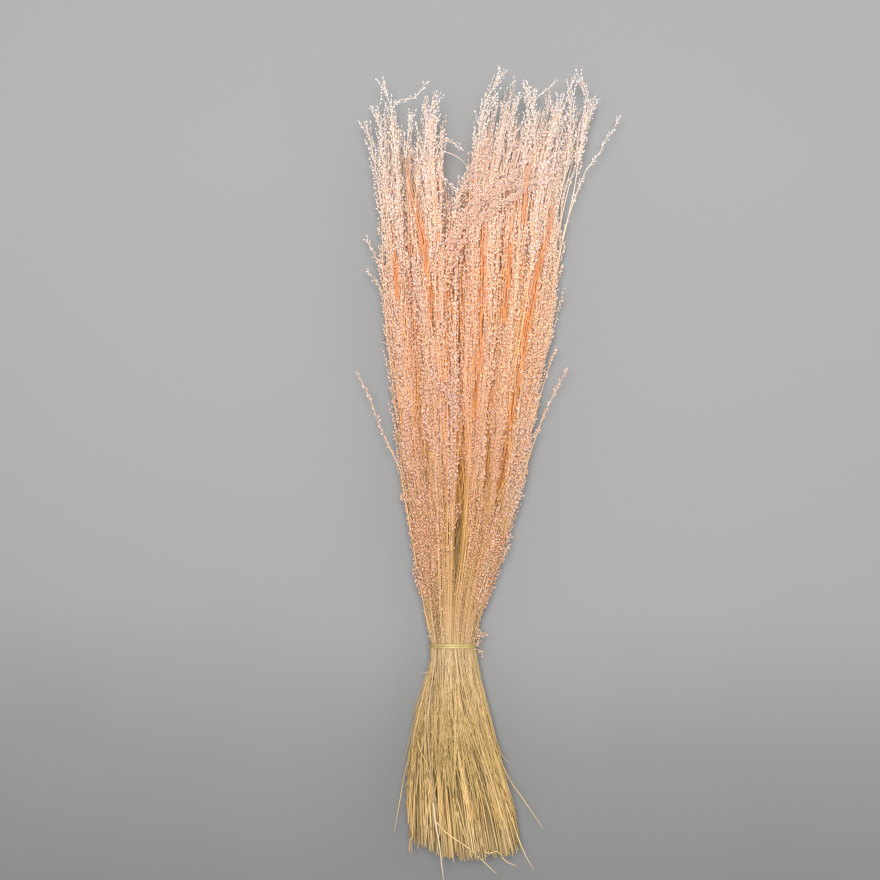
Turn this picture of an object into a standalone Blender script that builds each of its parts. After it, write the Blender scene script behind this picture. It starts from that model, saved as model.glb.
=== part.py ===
"""A bunch of dried star grass, tied at the waist and laid on its side. Metres, +Z up.

The stems run along Y: the cut ends point to -Y and the plumes to +Y. All shaping is done with
the tie at y = 0, and main() then moves the bunch to the middle of its bounding box.
The bunch is split into locks: a middle one, an inner ring and an outer ring. Each lock keeps to
its own cell of the section and is two nodes, its straw stems and its pink plumes.
"""

import math
import random

import bmesh
import bpy
from mathutils import Matrix, Vector

# Stations along the bunch: y, middle x, middle z, half width, half height above and below.
STATIONS = (
    (-0.230, 0.0168, 0.0338, 0.0545, 0.0402, 0.0350),
    (-0.206, 0.0136, 0.0341, 0.0540, 0.0400, 0.0350),
    (-0.160, 0.0075, 0.0350, 0.0520, 0.0395, 0.0355),
    (-0.100, -0.0005, 0.0370, 0.0415, 0.0345, 0.0335),
    (-0.052, -0.0010, 0.0385, 0.0318, 0.0290, 0.0275),
    (-0.018, 0.0000, 0.0395, 0.0246, 0.0240, 0.0236),
    (0.000, 0.0000, 0.0400, 0.0214, 0.0210, 0.0208),
    (0.018, 0.0000, 0.0405, 0.0256, 0.0244, 0.0240),
    (0.055, 0.0020, 0.0410, 0.0350, 0.0310, 0.0290),
    (0.105, 0.0060, 0.0410, 0.0490, 0.0400, 0.0350),
    (0.165, 0.0090, 0.0395, 0.0615, 0.0475, 0.0400),
    (0.240, 0.0110, 0.0390, 0.0720, 0.0550, 0.0412),
    (0.320, 0.0150, 0.0390, 0.0833, 0.0610, 0.0412),
    (0.400, 0.0185, 0.0395, 0.0935, 0.0660, 0.0415),
    (0.480, 0.0235, 0.0400, 0.1045, 0.0690, 0.0420),
    (0.560, 0.0290, 0.0410, 0.1090, 0.0700, 0.0430),
)
UPPER_ROUNDNESS = 2.0
LOWER_ROUNDNESS = 2.8

# How far the plumes reach: x across the bunch and the y of the tips there.
TOP_OUTLINE = (
    (-0.084, 0.484),
    (-0.069, 0.525),
    (-0.050, 0.500),
    (-0.031, 0.492),
    (-0.016, 0.518),
    (-0.009, 0.470),
    (0.002, 0.432),
    (0.012, 0.450),
    (0.026, 0.505),
    (0.042, 0.542),
    (0.054, 0.502),
    (0.078, 0.524),
    (0.100, 0.505),
    (0.124, 0.535),
    (0.136, 0.490),
)

# The rings of locks, as shares of the section, and the room between neighbours.
MIDDLE_REACH = 0.24
INNER_REACH = 0.575
OUTER_REACH = 0.58
INNER_LOCKS = 6
OUTER_LOCKS = 16
GAP = 0.00025

# Straw: a fluted core of packed stems, with free stems at the cut end.
STRAW_STATIONS = (-0.150, -0.100, -0.052, -0.018, 0.0, 0.018, 0.055)
STRAW_RIDGES = 4
STRAW_BACK = 0.955
FLUTE_DEPTH = 0.05
CORE_FOOT = -0.163
FOOT_SHRINK = 0.55
FOOT_END = -0.205
LONGEST_STEM = -0.2225
LONGEST_LOCK = "stems_15"
STEM_RADIUS = 0.0010
STEM_ROOT = -0.125
OUTER_STEMS = (
    (-0.75, 0.97),
    (-0.25, 0.95),
    (0.25, 0.98),
    (0.75, 0.96),
    (-0.60, 0.82),
    (0.50, 0.80),
    (-0.05, 0.69),
)
RING_STEMS = ((-0.65, 0.50), (0.10, 0.51), (0.70, 0.49), (-0.15, 0.36))
MIDDLE_STEMS = ((-0.7, 0.15), (-0.2, 0.16), (0.2, 0.15), (0.7, 0.16))

# Plumes: a core, with spindles that leave it all the way up and pass its end.
PLUME_START = 0.092
START_SPREAD = 0.020
PLUME_STATIONS = (0.105, 0.165, 0.240, 0.320, 0.400, 0.480)
CORE_BACK = ((0.0, 0.93), (0.12, 0.84), (0.35, 0.77), (1.0, 0.71))
CORE_BELOW_TIPS = 0.070
SPINDLE_LENGTH = 0.105
SPINDLE_RADIUS = 0.0040
SPINDLE_PLACES = (-0.70, 0.15, 0.85, -0.35, 0.45, -0.90, 0.10, 0.80)
TOP_PLACES = (-0.75, -0.05, 0.70)
SPINDLE_SIDES = 3

# Stray spindles and stems: lock, radius, number of swellings and the x, y points from the root.
FAR_STRAY = ((0.064, 0.315), (0.1045, 0.386), (0.1216, 0.440), (0.1416, 0.472), (0.1558, 0.503))
LOW_STRAY = ((-0.030, 0.145), (-0.0570, 0.1815), (-0.0720, 0.2147), (-0.091, 0.2584))
STRAYS = (
    ("plumes_11", 0.0030, 4, FAR_STRAY),
    ("plumes_11", 0.0013, 1, ((0.055, 0.165), (0.0798, 0.227), (0.0979, 0.282))),
    ("plumes_12", 0.0028, 3, ((0.050, 0.150), (0.0846, 0.2147), (0.1083, 0.262))),
    ("plumes_19", 0.0024, 3, LOW_STRAY),
    ("plumes_18", 0.0024, 2, ((-0.040, 0.315), (-0.0700, 0.361), (-0.0817, 0.3847))),
    ("stems_19", 0.0010, 0, ((-0.027, -0.085), (-0.0437, -0.114), (-0.0560, -0.1776))),
    ("stems_11", 0.0010, 0, ((0.026, -0.080), (0.0360, -0.091), (0.0540, -0.113))),
    ("stems_11", 0.0010, 0, ((0.036, -0.105), (0.0513, -0.1226), (0.0865, -0.1748))),
)

# The tie, an elastic band wound twice: its profile is along Y and outward from the straw.
BAND_PROFILE = (
    (-0.0026, 0.0013),
    (-0.0020, 0.0024),
    (-0.0008, 0.0024),
    (0.0, 0.0016),
    (0.0008, 0.0024),
    (0.0020, 0.0024),
    (0.0026, 0.0013),
    (0.0, 0.0004),
)
BAND_POINTS = 36

STRAW = (0.62, 0.46, 0.23)
PINK = (0.84, 0.50, 0.37)
OLIVE = (0.42, 0.35, 0.13)

FULL_TURN = 2 * math.pi
draw = random.Random()

# A seed for each lock by number. With these no two spindles merely graze each other.
STRAW_SEEDS = (13, 4, 2, 3, 3, 14, 8, 8, 5, 11, 4, 7, 14, 0, 5, 4, 3, 3, 5, 4, 15, 10, 10)
PLUME_SEEDS = (4, 2, 12, 13, 1, 10, 3, 1, 14, 5, 7, 4, 6, 6, 3, 2, 15, 10, 6, 6, 3, 10, 5)


def between(table, place):
    """The rest of the table's row at this place, on straight lines between its rows."""
    place = min(max(place, table[0][0]), table[-1][0])
    for low, high in zip(table, table[1:]):
        if place <= high[0]:
            share = (place - low[0]) / (high[0] - low[0])
            return [a + (b - a) * share for a, b in zip(low[1:], high[1:])]
    return list(table[-1][1:])


def half_height(angle, up, down):
    return up if math.sin(angle) >= 0 else down


def outline_share(angle):
    """How far the unit outline lies from its middle: round above, squarer below."""
    power = UPPER_ROUNDNESS if math.sin(angle) >= 0 else LOWER_ROUNDNESS
    return (abs(math.cos(angle)) ** power + abs(math.sin(angle)) ** power) ** (-1 / power)


class Cell:
    """One lock's place in the section: a wedge between two reaches, turned to an angle."""

    def __init__(self, low, high, angle, half_angle):
        self.low = low
        self.high = high
        self.angle = angle
        self.half_angle = half_angle

    def angle_at(self, place, reach, y, room):
        """The angle of a place from -1 to 1 across the cell, this far inside its sides."""
        if self.half_angle >= math.pi:
            return self.angle + place * math.pi
        wide, up, down = between(STATIONS, y)[2:]
        taken = 0
        for side in (-1, 1):
            angle = self.angle + side * self.half_angle
            tall = half_height(angle, up, down)
            edge = math.hypot(wide * math.cos(angle), tall * math.sin(angle))
            sine = room * edge / (reach * outline_share(angle) * wide * tall)
            taken = max(taken, math.asin(min(sine, 1)))
        return self.angle + place * max(self.half_angle - taken, 0)

    def spot(self, place, reach, y, room):
        """A point of the cell: across it, out from the middle and along the bunch."""
        middle_x, middle_z, wide, up, down = between(STATIONS, y)
        angle = self.angle_at(place, reach, y, room)
        out = reach * outline_share(angle)
        x = middle_x + out * wide * math.cos(angle)
        z = middle_z + out * half_height(angle, up, down) * math.sin(angle)
        return Vector((x, y, z))

    def beside(self, x, y):
        """The point at x that lies on the cell's middle line."""
        middle_x, middle_z, wide, up, down = between(STATIONS, y)
        tall = half_height(self.angle, up, down)
        slope = tall * math.sin(self.angle) / (wide * math.cos(self.angle))
        return Vector((x, y, middle_z + (x - middle_x) * slope))


def make_cells():
    """The locks' cells: the middle one, the inner ring and the outer ring, from the bottom round."""
    cells = [Cell(0, MIDDLE_REACH, 0, math.pi)]
    for count, low, high in ((INNER_LOCKS, MIDDLE_REACH, INNER_REACH), (OUTER_LOCKS, OUTER_REACH, 1)):
        for i in range(count):
            cells.append(Cell(low, high, FULL_TURN * i / count - math.pi / 2, math.pi / count))
    return cells


def plume_start(number):
    """Where a lock's straw ends and its plumes start."""
    draw.seed(number)
    return PLUME_START + draw.uniform(-START_SPREAD, START_SPREAD)


def loft(rings, tip=None):
    """A closed mesh through rings of equal length, which ends flat or at the tip."""
    mesh = bpy.data.meshes.new("loft")
    body = bmesh.new()
    made = [[body.verts.new(p) for p in ring] for ring in rings]
    count = len(rings[0])
    if count == 3:
        body.faces.new(reversed(made[0]))
    else:
        made.insert(0, [body.verts.new(sum(rings[0], Vector()) / count)] * count)
    if tip is None and count == 3:
        body.faces.new(made[-1])
    else:
        point = sum(rings[-1], Vector()) / count if tip is None else tip
        made.append([body.verts.new(point)] * count)
    for lower, upper in zip(made, made[1:]):
        for i in range(count):
            j = (i + 1) % count
            if lower[i] != lower[j]:
                body.faces.new((lower[i], lower[j], upper[j]))
            if upper[i] != upper[j]:
                body.faces.new((lower[i], upper[j], upper[i]))
    if body.calc_volume(signed=True) < 0:
        bmesh.ops.reverse_faces(body, faces=body.faces[:])
    body.to_mesh(mesh)
    body.free()
    return bpy.data.objects.new("loft", mesh)


def ring_round(centre, radius, turn, lean=0):
    """Corners of a small ring round a centre, each moved along Y by up to the lean."""
    corners = []
    for i in range(SPINDLE_SIDES):
        angle = turn + FULL_TURN * i / SPINDLE_SIDES
        along = draw.uniform(-lean, lean)
        corners.append(centre + Vector((radius * math.cos(angle), along, radius * math.sin(angle))))
    return corners


def rod(points, radius):
    """A stem through the points, cut off square."""
    turn = draw.uniform(0, FULL_TURN)
    return loft([ring_round(p, radius, turn) for p in points])


def along(points, share):
    """The point at a share of the way along the points."""
    place = share * (len(points) - 1)
    i = min(int(place), len(points) - 2)
    return points[i].lerp(points[i + 1], place - i)


def spindle(points, radius, swellings):
    """A plume: a thin stalk that swells and narrows in turn and ends in a point."""
    length = sum((b - a).length for a, b in zip(points, points[1:]))
    lean = 0.12 * length / (swellings + 1)
    rings = [ring_round(points[0], 0.4 * radius, 0)]
    turn = draw.uniform(0, FULL_TURN)
    for i in range(swellings):
        fade = 1 - 0.35 * i / max(swellings - 1, 1)
        rings.append(ring_round(along(points, (i + 0.75) / (swellings + 0.6)), fade * radius, turn, lean))
        if i < swellings - 1:
            rings.append(ring_round(along(points, (i + 1.2) / (swellings + 0.6)), 0.5 * radius, turn))
        turn += draw.uniform(-0.3, 0.3)
    return loft(rings, points[-1])


def core_ring(cell, y, low, back, ridges, depth):
    """A lock's section at y: flat sides, and a back that is fluted as packed stems are."""
    if not cell.low:
        return [cell.spot(i / 3, back, y, 0) for i in range(6)]
    ring = [cell.spot(-1, low, y, GAP), cell.spot(1, low, y, GAP)]
    steps = 2 * ridges
    for i in range(steps + 1):
        reach = back if i % 2 else back - depth
        ring.append(cell.spot(1 - 2 * i / steps, reach, y, GAP))
    return ring


def shrunk(ring, share):
    """A ring drawn towards its own middle."""
    middle = sum(ring, Vector()) / len(ring)
    return [middle + (p - middle) * share for p in ring]


def room_share(y):
    """The room between locks as a share of the section at y."""
    return 2 * GAP / min(between(STATIONS, y)[2:])


def straw_lock(cell, name, end):
    """The straw of one lock, from its cut ends to where its plumes start."""
    outer = cell.high == 1
    ridges, depth = (STRAW_RIDGES, FLUTE_DEPTH) if outer else (1, 0)

    def ring_at(y):
        back = STRAW_BACK if outer else cell.high - room_share(y)
        return core_ring(cell, y, cell.low + room_share(y), back, ridges, depth)

    rings = [shrunk(ring_at(CORE_FOOT), FOOT_SHRINK)]
    rings += [ring_at(y) for y in STRAW_STATIONS]
    rings.append(ring_at(end))
    rings[1] = shrunk(rings[1], (1 + FOOT_SHRINK) / 2)

    stems = []
    spread = OUTER_STEMS if outer else RING_STEMS if cell.low else MIDDLE_STEMS
    for place, reach in spread:
        foot = FOOT_END + draw.uniform(-0.004, 0.012)
        if name == LONGEST_LOCK and reach == 0.95:
            foot = LONGEST_STEM
        place = place + draw.uniform(-0.1, 0.1)
        room = STEM_RADIUS + 2 * GAP
        root = max(reach - 0.07, cell.low + 0.04)
        ends = ((STEM_ROOT, root), (foot, reach))
        stems.append(rod([cell.spot(place, r, y, room) for y, r in ends], STEM_RADIUS))
    return fused(loft(rings), stems + strays_of(cell, name))


def plume_lock(cell, name, start):
    """The plumes of one lock: a core, spindles up its back and spindles past its end."""
    outer = cell.high == 1
    tops = [top_at(cell.spot(place, cell.high, 0.48, 0).x) for place in (-1, 0, 1)]
    end = min(tops) - CORE_BELOW_TIPS - (0 if outer else 0.03)

    def back_at(y):
        share = (y - start) / (end - start)
        if outer:
            return between(CORE_BACK, share)[0]
        return (cell.high - room_share(y)) * (1 - 0.25 * share**3)

    def ring_at(y):
        return core_ring(cell, y, cell.low + room_share(y), back_at(y), 1, 0)

    shoulder = end - 0.045
    passed = [y for y in PLUME_STATIONS if start + 0.02 < y < shoulder - 0.01]
    rings = [shrunk(ring_at(start), 0.88)]
    rings += [ring_at(y) for y in (start + 0.010, *passed, shoulder)]
    last = ring_at(end)
    tip = sum(last, Vector()) / len(last)

    spindles = []
    room = 0.8 * SPINDLE_RADIUS + 2 * GAP
    if outer:
        count = len(SPINDLE_PLACES)
        for i, place in enumerate(SPINDLE_PLACES):
            root_y = start + 0.016 + (shoulder - start - 0.01) * i / count + draw.uniform(-0.005, 0.005)
            length = SPINDLE_LENGTH * draw.uniform(0.85, 1.1)
            reach = back_at(root_y) - 0.08
            points = climb(cell, place, reach, 0.95, root_y, root_y + length, room)
            spindles.append(spindle(points, SPINDLE_RADIUS, 2))
    low, high = (0.65, 0.92) if outer else (cell.low + 0.10, cell.high - 0.08)
    for place in TOP_PLACES:
        root_y = shoulder - 0.012 + draw.uniform(-0.008, 0.0)
        place = place * draw.uniform(0.85, 1.1)
        top_reach = high if place < 0 or outer else low + 0.05
        tip_y = top_at(cell.spot(place, high, 0.49, room).x) - draw.uniform(0.0, 0.018 if outer else 0.045)
        points = climb(cell, place, low, top_reach, root_y, tip_y, room, 0.4)
        spindles.append(spindle(points, SPINDLE_RADIUS, 3 if outer else 2))
    return fused(loft(rings, tip), spindles + strays_of(cell, name))


def climb(cell, place, low, high, start, end, room, gathered=1):
    """Points from inside the core, where they may be gathered, out to the tip of a plume."""
    points = []
    for share in (0, 0.25, 0.5, 0.75, 1):
        y = start + (end - start) * share
        across = place * (gathered + (1 - gathered) * min(2.5 * share, 1))
        points.append(cell.spot(across, low + (high - low) * share**0.45, y, room))
    return points


def top_at(x):
    """The y that the tips reach at x."""
    return between(TOP_OUTLINE, x)[0]


def strays_of(cell, name):
    """The stems or plumes of a lock that leave the bunch through given points."""
    strays = []
    for lock, radius, swellings, places in STRAYS:
        if lock == name:
            points = [cell.beside(x, y) for x, y in places]
            strays.append(spindle(points, radius, swellings) if swellings else rod(points, radius))
    return strays


def fused(base, others):
    """The base with the others joined to it as one body."""
    group = bpy.data.collections.new("repeats")
    bpy.context.scene.collection.children.link(group)
    for other in others:
        group.objects.link(other)
    bpy.context.scene.collection.objects.link(base)
    join = base.modifiers.new("join", "BOOLEAN")
    join.operation = "UNION"
    join.operand_type = "COLLECTION"
    join.collection = group
    join.solver = "MANIFOLD"
    apply_modifiers(base)
    for other in others:
        bpy.data.objects.remove(other)
    bpy.data.collections.remove(group)
    keep_outer_body(base.data)
    return base


def apply_modifiers(obj):
    """Turns what the modifiers make into the object's own mesh."""
    graph = bpy.context.evaluated_depsgraph_get()
    made = bpy.data.meshes.new_from_object(obj.evaluated_get(graph))
    obj.modifiers.clear()
    obj.data = made


def press_on_floor(obj, floor):
    """Cuts off what lies below the floor, and drops loose scraps."""
    if min(v.co.z for v in obj.data.vertices) >= 0:
        return
    cut = obj.modifiers.new("floor", "BOOLEAN")
    cut.operation = "DIFFERENCE"
    cut.object = floor
    cut.solver = "MANIFOLD"
    apply_modifiers(obj)
    keep_outer_body(obj.data)


def keep_outer_body(mesh):
    """Keeps the largest surface of a mesh: sealed hollows are filled and scraps are dropped."""
    body = bmesh.new()
    body.from_mesh(mesh)
    left = set(body.verts)
    islands = []
    while left:
        start = left.pop()
        island = [start]
        for vert in island:
            for edge in vert.link_edges:
                other = edge.other_vert(vert)
                if other in left:
                    left.remove(other)
                    island.append(other)
        islands.append(island)
    for island in sorted(islands, key=len)[:-1]:
        bmesh.ops.delete(body, geom=island, context="VERTS")
    body.to_mesh(mesh)
    body.free()


def tie():
    """The band: a closed loop of its profile round the waist."""
    middle_x, middle_z, wide, up, down = between(STATIONS, 0)
    mesh = bpy.data.meshes.new("tie_band")
    body = bmesh.new()
    rings = []
    for i in range(BAND_POINTS):
        angle = FULL_TURN * i / BAND_POINTS
        share = STRAW_BACK * outline_share(angle)
        tall = half_height(angle, up, down)
        ring = []
        for along_y, out in BAND_PROFILE:
            x = middle_x + (wide * share + out) * math.cos(angle)
            z = middle_z + (tall * share + out) * math.sin(angle)
            ring.append(body.verts.new((x, along_y, z)))
        rings.append(ring)
    count = len(BAND_PROFILE)
    for lower, upper in zip(rings, rings[1:] + rings[:1]):
        for i in range(count):
            j = (i + 1) % count
            body.faces.new((lower[i], lower[j], upper[j], upper[i]))
    bmesh.ops.triangulate(body, faces=body.faces[:])
    bmesh.ops.recalc_face_normals(body, faces=body.faces[:])
    body.to_mesh(mesh)
    body.free()
    obj = bpy.data.objects.new("tie_band", mesh)
    bpy.context.scene.collection.objects.link(obj)
    return obj


def floor_cutter():
    """A block whose top is the floor, in a collection of its own."""
    mesh = bpy.data.meshes.new("floor_cutter")
    block = bmesh.new()
    under = Matrix.Translation((0, 0, -0.05)) @ Matrix.Diagonal((2, 2, 0.1, 1))
    bmesh.ops.create_cube(block, size=1, matrix=under)
    block.to_mesh(mesh)
    block.free()
    floor = bpy.data.objects.new("floor_cutter", mesh)
    floor.hide_render = True
    floor.display_type = "WIRE"
    cutters = bpy.data.collections.new("cutters")
    bpy.context.scene.collection.children.link(cutters)
    cutters.objects.link(floor)
    return floor


def material(name, colour, roughness):
    made = bpy.data.materials.new(name)
    made.use_nodes = True
    shader = made.node_tree.nodes["Principled BSDF"]
    shader.inputs["Base Color"].default_value = (*colour, 1)
    shader.inputs["Roughness"].default_value = roughness
    return made


def main():
    for obj in list(bpy.data.objects):
        bpy.data.objects.remove(obj)
    straw = material("straw", STRAW, 0.7)
    pink = material("pink_plume", PINK, 0.8)
    olive = material("olive_rubber", OLIVE, 0.55)
    floor = floor_cutter()

    nodes = [("tie_band", tie(), olive)]
    for number, cell in enumerate(make_cells()):
        start = plume_start(number)
        name = f"stems_{number:02d}"
        draw.seed(STRAW_SEEDS[number])
        nodes.append((name, straw_lock(cell, name, start - 2 * GAP), straw))
        name = f"plumes_{number:02d}"
        draw.seed(PLUME_SEEDS[number])
        nodes.append((name, plume_lock(cell, name, start), pink))

    bunch = bpy.data.collections.new("star_grass_bunch")
    bpy.context.scene.collection.children.link(bunch)
    corners = []
    for name, obj, finish in nodes:
        press_on_floor(obj, floor)
        obj.name = name
        obj.data.name = name
        obj.data.materials.clear()
        obj.data.materials.append(finish)
        bpy.context.scene.collection.objects.unlink(obj)
        bunch.objects.link(obj)
        corners += [v.co.copy() for v in obj.data.vertices]
    middle = [(min(c[i] for c in corners) + max(c[i] for c in corners)) / 2 for i in (0, 1)]
    for name, obj, finish in nodes:
        obj.data.transform(Matrix.Translation((-middle[0], -middle[1], 0)))


main()
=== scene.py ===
"""The looks of the bunch of dried star grass: every stem, branch, spikelet and the tie. Metres.

Each stem keeps its own place in the section of the bunch, as packed stems do, and ends in a
panicle: fine branches that lie along the stem and carry the spikelets. All shaping is done with
the tie at y = 0, as in the part's source, and the pieces are then moved to the frame's tie.
"""

import math

import bpy
import numpy as np
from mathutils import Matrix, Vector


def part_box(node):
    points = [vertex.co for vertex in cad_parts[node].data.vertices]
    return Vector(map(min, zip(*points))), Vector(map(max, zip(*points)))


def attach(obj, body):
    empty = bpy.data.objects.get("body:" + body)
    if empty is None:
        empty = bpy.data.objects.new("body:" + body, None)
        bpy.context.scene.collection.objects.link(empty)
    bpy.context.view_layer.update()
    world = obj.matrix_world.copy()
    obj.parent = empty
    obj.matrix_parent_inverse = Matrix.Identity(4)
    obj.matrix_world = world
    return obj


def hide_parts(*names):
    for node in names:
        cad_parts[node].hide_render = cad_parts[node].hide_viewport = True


# Stations along the bunch: y, middle x, middle z, half width, half height above and below.
STATIONS = (
    (-0.230, 0.0168, 0.0338, 0.0545, 0.0402, 0.0350),
    (-0.206, 0.0136, 0.0341, 0.0540, 0.0400, 0.0350),
    (-0.160, 0.0075, 0.0350, 0.0520, 0.0395, 0.0355),
    (-0.100, -0.0005, 0.0370, 0.0415, 0.0345, 0.0335),
    (-0.052, -0.0018, 0.0385, 0.0298, 0.0282, 0.0272),
    (-0.018, 0.0000, 0.0395, 0.0236, 0.0234, 0.0232),
    (0.000, 0.0000, 0.0400, 0.0216, 0.0211, 0.0208),
    (0.018, 0.0000, 0.0405, 0.0254, 0.0243, 0.0240),
    (0.055, 0.0020, 0.0410, 0.0338, 0.0304, 0.0288),
    (0.105, 0.0064, 0.0410, 0.0464, 0.0392, 0.0348),
    (0.165, 0.0102, 0.0395, 0.0597, 0.0474, 0.0400),
    (0.240, 0.0122, 0.0390, 0.0710, 0.0550, 0.0412),
    (0.320, 0.0150, 0.0390, 0.0833, 0.0610, 0.0412),
    (0.400, 0.0168, 0.0395, 0.0875, 0.0660, 0.0415),
    (0.440, 0.0170, 0.0397, 0.0905, 0.0677, 0.0417),
    (0.480, 0.0240, 0.0400, 0.1000, 0.0690, 0.0420),
    (0.560, 0.0290, 0.0410, 0.1090, 0.0700, 0.0430),
)
UPPER_ROUNDNESS = 2.0
LOWER_ROUNDNESS = 2.8

# How far the plumes reach: x across the bunch and the y of the tips there, in millimetres.
TOP_OUTLINE = (
    (-84, 484), (-69, 525), (-50, 500), (-31, 492), (-16, 518), (-9, 470), (2, 432), (12, 450),
    (26, 505), (42, 542), (54, 502), (78, 524), (100, 505), (124, 535), (136, 490),
)

# The locks of the part: a middle one, an inner ring and an outer ring, by reach and angle.
MIDDLE_REACH = 0.24
INNER_REACH = 0.5775
INNER_LOCKS = 6
OUTER_LOCKS = 16
LOCKS = 1 + INNER_LOCKS + OUTER_LOCKS

# Stems.
STEM_COUNT = 1150
PACKED_REACH = 0.955
FARTHEST_REACH = 0.985
STEM_SIDES = 4
# Radii from 0.2 m below the tie (-1) past the tie (0) to the tip (1).
STEM_RADII = ((-1.0, 0.00060), (0.0, 0.00049), (0.35, 0.00023), (0.8, 0.00020), (1.0, 0.00011))
DEEP_THICKER = 1.30
FOOT_SHARES = (0.78, 0.56, 0.36, 0.18, 0.07)
HEAD_KNOTS = (0.003, 0.022, 0.050)
HEAD_SHARES = (0.14, 0.28, 0.42, 0.55, 0.68, 0.80, 0.90, 1.0)
SHORT_STEMS = 0.30
RIGHTWARD_TURN = -0.42
LOOSE_STRAWS = 288
LOOSE_HAIRS = 128
DEEP_REACH = 0.83

# Groups that the panicles and the cut ends gather in: how many, and between which shares of
# the section's reach.
WANDS = ((28, 0.50, 0.76), (38, 0.76, 1.0))
FOOT_TUFTS = ((24, 0.40, 0.76), (40, 0.76, 1.0))

# Panicles.
BRANCH_SIDES = 3
BRANCH_RADIUS = 0.00022
LONGEST_BRANCH = 0.040
SHORTEST_BRANCH = 0.013
BEAD_SIDES = 3
BEAD_SPACING = 0.0031
BEAD_LENGTH = 0.0038
BEAD_WIDTH = 0.00168
CAUGHT_BEADS = 7200
LINE_RICHNESS = 1.6

# Partings between the wands, where the stems inside show: the lock that its dyed stems belong to
# (-1 where it has none), a width, and x and y along each, as seen from above at the tie's height.
# In millimetres.
PARTINGS = (
    (17, 4.0, ((-43, 452), (-36, 420), (-28, 385), (-22, 350), (-20, 310))),
    (15, 2.6, ((28, 392), (28, 325), (26, 260))),
    (13, 3.6, ((94, 406), (79, 350), (68, 290), (57, 228), (48, 167), (43, 137))),
    (-1, 4.0, ((10, 200), (8, 167), (6, 119), (4, 80))),
    (15, 2.6, ((21, 262), (21, 225))),
    (17, 2.6, ((-57, 396), (-54, 360), (-52, 335))),
    (14, 2.6, ((55, 370), (51, 315))),
    (-1, 1.8, ((-34, 235), (-30, 190))),
    (14, 2.6, ((71, 444), (68, 410))),
    (-1, 2.2, ((-24.7, 186), (-25, 147))),
    (-1, 2.2, ((34, 200), (34, 131))),
    (-1, 2.0, ((24, 158), (21, 117))),
    (-1, 2.0, ((-8, 150), (-8.5, 118))),
)
PARTING_FLOOR = 0.050
PARTING_REACH = 0.78

# The visible top of the bunch, as it lies: where points start to be pressed, and how much is left.
SOFT_TOP = 0.094
TOP_ROOM = 0.0095
HEAD_FLATTENING = 0.07

# UV columns: the plume colours and the straw colours each lie in their own columns of the map.
PLUME_TILES = 32
BEAD_TILES = 18
YELLOW_TILES = 8
STRAW_TILES = 16
STALK_TILES = 13
PARTING_TILE = 13
DEEP_TILE = 14
LOW_Y = -0.23
HIGH_Y = 0.56

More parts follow.
